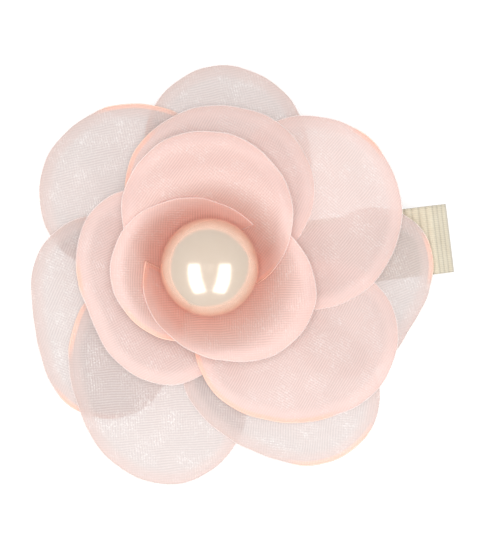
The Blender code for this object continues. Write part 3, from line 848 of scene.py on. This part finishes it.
def petal_shell(name, layer, index):
    """The petal's closed sheet, and the line of its cut edge for the melted bead."""
    petal = LAYERS[layer]["petals"][index]
    plan = petal_plan(petal)
    edge = distance_to_edge(plan)
    height = petal_heights(layer, index, plan, edge)
    turned = np.stack(flower_to_clip(plan[..., 0], plan[..., 1]), -1)
    rows, columns = edge.shape
    one_side = rows * columns
    points = [
        np.concatenate([turned, (height + side * PETAL_THICKNESS / 2)[..., None]], -1).reshape(-1, 3)
        for side in (1, -1)
    ]
    ids = np.arange(one_side).reshape(rows, columns)
    quads = np.stack([ids[:-1, :-1], ids[1:, :-1], ids[1:, 1:], ids[:-1, 1:]], -1).reshape(-1, 4)
    border = np.concatenate([ids[0, :-1], ids[:-1, -1], ids[-1, :0:-1], ids[:0:-1, 0]])
    wall = np.stack([border, np.roll(border, -1), np.roll(border, -1) + one_side, border + one_side], -1)
    faces = np.concatenate([quads, quads[:, ::-1] + one_side, wall])
    mesh = closed_mesh(name, np.concatenate(points).tolist(), faces.tolist())

    threads = math.radians(petal.thread_way)
    x, y = plan[..., 0], plan[..., 1]
    down_threads = math.cos(threads) * x + math.sin(threads) * y
    across_threads = math.cos(threads) * y - math.sin(threads) * x
    flat = np.stack([down_threads, across_threads], -1).reshape(-1, 2)
    flat = np.concatenate([flat, flat])
    corner_points = np.empty(len(mesh.loops), np.int32)
    mesh.loops.foreach_get("vertex_index", corner_points)
    cloth_map = mesh.uv_layers.new(name="threads")
    cloth_map.uv.foreach_set("vector", (flat[corner_points] / mm).astype(np.float32).ravel())
    melt = np.repeat(petal_melt(petal)[:, None], columns, axis=1)
    point_values(mesh, "from_edge", np.tile(edge.ravel() / mm, 2))
    point_values(mesh, "melted", np.tile(melt.ravel(), 2))
    mesh.shade_smooth()
    mesh.set_sharp_from_angle(angle=math.radians(60))
    middle = np.concatenate([turned, height[..., None]], -1)
    edge_line = line_mesh("edge_" + name, round_edge(middle))
    point_values(edge_line, "melted", round_edge(melt))
    return in_scene(name, mesh), edge_line


def make_thread_group():
    """Crossing threads of a sheer woven cloth, and the painted glints on it. The cloth's own map and every
    size are in millimetres.
    """
    group = bpy.data.node_groups.new("crossing threads", "ShaderNodeTree")
    socket(group, "Cloth Map", "NodeSocketVector")
    socket(group, "Thread Pitch", "NodeSocketFloat", value=0.45)
    socket(group, "Cross Threads", "NodeSocketFloat", value=0.75)
    socket(group, "Wander", "NodeSocketFloat", value=0.6)
    socket(group, "Height", "NodeSocketFloat", "OUTPUT")
    socket(group, "Glints", "NodeSocketFloat", "OUTPUT")
    start = group.nodes.new("NodeGroupInput")
    end = group.nodes.new("NodeGroupOutput")
    cloth = start.outputs["Cloth Map"]
    drift = noise_at(group, cloth, 0.22, 1.0)
    shift = math_node(group, "MULTIPLY", start.outputs["Wander"], drift)
    parts = node(group, "ShaderNodeSeparateXYZ", {"Vector": cloth})
    turn = math_node(group, "DIVIDE", math.tau, start.outputs["Thread Pitch"])
    waves = []
    for axis in (0, 1):
        moved = math_node(group, "ADD", parts.outputs[axis], shift)
        wave = math_node(group, "SINE", math_node(group, "MULTIPLY", moved, turn))
        waves.append(math_node(group, "MULTIPLY_ADD", wave, 0.5, 0.5))
    patches = noise_at(group, cloth, 0.3, 1.0)
    crossing = ramp_between(group, patches, 0.35, 0.65)
    crossing = math_node(group, "MULTIPLY", crossing, start.outputs["Cross Threads"])
    lines = math_node(group, "SUBTRACT", 1.0, crossing)
    lines = math_node(group, "MULTIPLY", waves[1], lines)
    height = math_node(group, "MULTIPLY_ADD", waves[0], crossing, lines)
    cells_to_mm = math_node(group, "DIVIDE", 2.2, start.outputs["Thread Pitch"])
    cells = node(group, "ShaderNodeVectorMath", {0: cloth, "Scale": cells_to_mm}, operation="SCALE")
    cell = node(group, "ShaderNodeVectorMath", {0: cells.outputs[0]}, operation="FLOOR")
    speck = node(group, "ShaderNodeTexWhiteNoise", {"Vector": cell.outputs[0]}, noise_dimensions="2D")
    glints = math_node(group, "POWER", speck.outputs["Value"], 5.0)
    shiny = ramp_between(group, patches, 0.4, 0.7, 0.25, 1.0)
    group.links.new(height, end.inputs["Height"])
    group.links.new(math_node(group, "MULTIPLY", glints, shiny), end.inputs["Glints"])
    return group


thread_group = make_thread_group()


def organza(name, open_colour, tint_and_shade_colour, cover, thread_pitch, glow, rim_dye_and_highlight):
    """Sheer satin cloth: paler where it lies open, with painted shade towards the flower's centre, denser at
    its rim.
    """
    material, tree, shader = new_material(name, 0.45)
    cloth = node(tree, "ShaderNodeUVMap", uv_map="threads").outputs["UV"]
    threads = node(tree, "ShaderNodeGroup", node_tree=thread_group)
    tree.links.new(cloth, threads.inputs["Cloth Map"])
    threads.inputs["Thread Pitch"].default_value = thread_pitch
    to_mm = {0: object_place(tree), 1: (1000, 1000, 0)}
    flat_place = node(tree, "ShaderNodeVectorMath", to_mm, operation="MULTIPLY").outputs[0]
    reach = node(tree, "ShaderNodeVectorMath", {0: flat_place}, operation="LENGTH").outputs["Value"]
    edge = node(tree, "ShaderNodeAttribute", attribute_name="from_edge").outputs["Fac"]
    # Painted shade: the colour turns darker and more pink towards the flower's centre, round the pearl.
    centre_painted_shade = ramp_between(tree, reach, 12.5, 6.0, 0.0, 0.9)
    rim = ramp_between(tree, edge, 2.4, 0.9)
    melted = node(tree, "ShaderNodeAttribute", attribute_name="melted").outputs["Fac"]
    seam = ramp_between(tree, edge, 0.75, 0.35)
    seam = math_node(tree, "MULTIPLY", seam, math_node(tree, "MULTIPLY_ADD", melted, 0.6, 0.08))
    clouds = math_node(tree, "MULTIPLY", noise_at(tree, flat_place, 0.12, 2.0), 0.25)
    # The rim band is more pink on the outer and middle petals, from their denser rolled cloth, and lighter
    # on the inner petals, where it is a painted highlight on the rolled rim.
    tint_and_painted_shade = math_node(tree, "MULTIPLY_ADD", rim, rim_dye_and_highlight, clouds)
    tint_and_painted_shade = math_node(tree, "ADD", tint_and_painted_shade, centre_painted_shade, clamp=True)
    # The colour goes from the open colour to the darker one by the rim band, random clouds and the painted
    # shade towards the centre.
    dyed_and_shaded = mixed_colour(tree, tint_and_painted_shade, (*open_colour, 1), (*tint_and_shade_colour, 1))
    dyed_and_shaded = mixed_colour(tree, seam, dyed_and_shaded, (0.98, 0.62, 0.50, 1))
    woven = math_node(tree, "MULTIPLY_ADD", rim, -0.5, 1.0)
    ribs = math_node(tree, "SUBTRACT", threads.outputs["Height"], 1.0)
    ribs = math_node(tree, "MULTIPLY", ribs, woven)
    shade = math_node(tree, "MULTIPLY_ADD", ribs, 0.06, 1.0)
    lit = mixed_colour(tree, 1.0, dyed_and_shaded, shade, "MULTIPLY")
    # Painted glints: white specks mixed into the colour, fewer towards the rim.
    glint = math_node(tree, "MULTIPLY", threads.outputs["Glints"], 0.55)
    shown = mixed_colour(tree, math_node(tree, "MULTIPLY", glint, woven), lit, (1, 1, 1, 1))
    tree.links.new(shown, shader.inputs["Base Color"])
    covered = math_node(tree, "MULTIPLY_ADD", ribs, 0.10, cover)
    covered = math_node(tree, "MULTIPLY_ADD", rim, 0.16, covered)
    covered = math_node(tree, "MULTIPLY_ADD", seam, 0.25, covered, clamp=True)
    roughened(tree, shader, ribs, 0.3, 0.04 * mm)
    shader.inputs["Specular IOR Level"].default_value = 0.35
    shader.inputs["Sheen Weight"].default_value = 0.15
    shader.inputs["Sheen Roughness"].default_value = 0.35
    passing = node(tree, "ShaderNodeBsdfTranslucent", {"Color": shown}).outputs[0]
    solid = node(tree, "ShaderNodeMixShader", {0: glow, 1: shader.outputs[0], 2: passing}).outputs[0]
    clear = node(tree, "ShaderNodeBsdfTransparent").outputs[0]
    sheer = node(tree, "ShaderNodeMixShader", {0: covered, 1: clear, 2: solid}).outputs[0]
    tree.links.new(sheer, tree.nodes["Material Output"].inputs["Surface"])
    return material


# One cloth in three copies: the outer one greyer and darker, as painted shade, and the inner one a stronger
# pink, as painted shade between the inner petals.
organza_of = {
    "outer": organza(
        "organza_outer",
        open_colour=(0.61, 0.55, 0.535),
        tint_and_shade_colour=(0.82, 0.63, 0.58),
        cover=0.58,
        thread_pitch=0.36,
        glow=0.25,
        rim_dye_and_highlight=0.25,
    ),
    "middle": organza(
        "organza_middle",
        open_colour=(0.80, 0.665, 0.635),
        tint_and_shade_colour=(1.0, 0.75, 0.69),
        cover=0.62,
        thread_pitch=0.34,
        glow=0.35,
        rim_dye_and_highlight=0.10,
    ),
    "inner": organza(
        "organza_inner",
        open_colour=(0.83, 0.645, 0.605),
        tint_and_shade_colour=(1.0, 0.70, 0.61),
        cover=0.64,
        thread_pitch=0.34,
        glow=0.35,
        rim_dye_and_highlight=-0.10,
    ),
}

melted_edge, melted_tree, melted_shader = new_material("melted_edge", 0.35)
burn = noise_at(melted_tree, object_place(melted_tree), 900.0, 3.0)
melt_here = node(melted_tree, "ShaderNodeAttribute", attribute_name="melted").outputs["Fac"]
melt_here = math_node(melted_tree, "MULTIPLY", melt_here, 0.8)
browned = math_node(melted_tree, "MULTIPLY_ADD", burn, 0.4, melt_here)
amber = ramp_between(melted_tree, browned, 0.1, 1.0)
mottled(melted_tree, melted_shader, amber, (0.95, 0.86, 0.83), (0.97, 0.68, 0.55))
melted_tree.links.new(ramp_between(melted_tree, browned, 0.1, 1.0, 0.25, 0.6), melted_shader.inputs["Alpha"])


for layer, facts in LAYERS.items():
    for index, petal in enumerate(facts["petals"]):
        name = f"{layer}_petal_{index + 1}"
        sheet, edge_line = petal_shell("organza_" + name, layer, index)
        sheet.data.materials.append(organza_of[layer])
        bead = grown(
            "bead_" + name,
            edge_line,
            wire_tree,
            Radius=BEAD_RADIUS,
            Burr=BEAD_BURR,
            Seed=float(index),
            Finish=melted_edge,
        )
        for piece in (sheet, bead):
            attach(piece, FLOWER)
        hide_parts(name)
        across = 2 * petal.radius * (1 + petal.stretch) * mm

# ---- Pearl ----------------------------------------------------------------------------------------
# An imitation pearl: a round bead drilled from below, under a thin coat of pearl lacquer.
DRILL_RADIUS = 0.6 * mm
DRILL_DEPTH = 6.0 * mm
PEARL_RINGS = 90
PEARL_STEPS = 128

drill_angle = math.asin(DRILL_RADIUS / PEARL_RADIUS)
pearl_profile = [(0, DRILL_DEPTH - PEARL_RADIUS), (DRILL_RADIUS, DRILL_DEPTH - PEARL_RADIUS)]
for k in range(PEARL_RINGS):
    angle = drill_angle + (math.pi - drill_angle) * k / PEARL_RINGS
    pearl_profile.append((PEARL_RADIUS * math.sin(angle), -PEARL_RADIUS * math.cos(angle)))
pearl_profile.append((0, PEARL_RADIUS))

lacquer, pearl_tree, pearl_shader = new_material("pearl_lacquer", 0.19)
pearl_place = object_place(pearl_tree)
nacre = noise_at(pearl_tree, pearl_place, 260.0, 3.0)
mottled(pearl_tree, pearl_shader, nacre, (0.89, 0.73, 0.58), (0.95, 0.81, 0.68))
dimples = noise_at(pearl_tree, pearl_place, 1800.0, 2.0)
roughened(pearl_tree, pearl_shader, dimples, 0.05, 0.01 * mm)
pearl_shader.inputs["Metallic"].default_value = 0.7
pearl_shader.inputs["Specular Tint"].default_value = (1.0, 0.72, 0.54, 1)
pearl_shader.inputs["Coat Weight"].default_value = 1.0
pearl_shader.inputs["Coat Roughness"].default_value = 0.07
pearl_shader.inputs["Coat IOR"].default_value = 1.6
pearl_mesh = turned_mesh("pearl_bead", pearl_profile, PEARL_STEPS)
added("pearl_bead", pearl_mesh, lacquer, "pearl", at=PEARL_CENTRE)
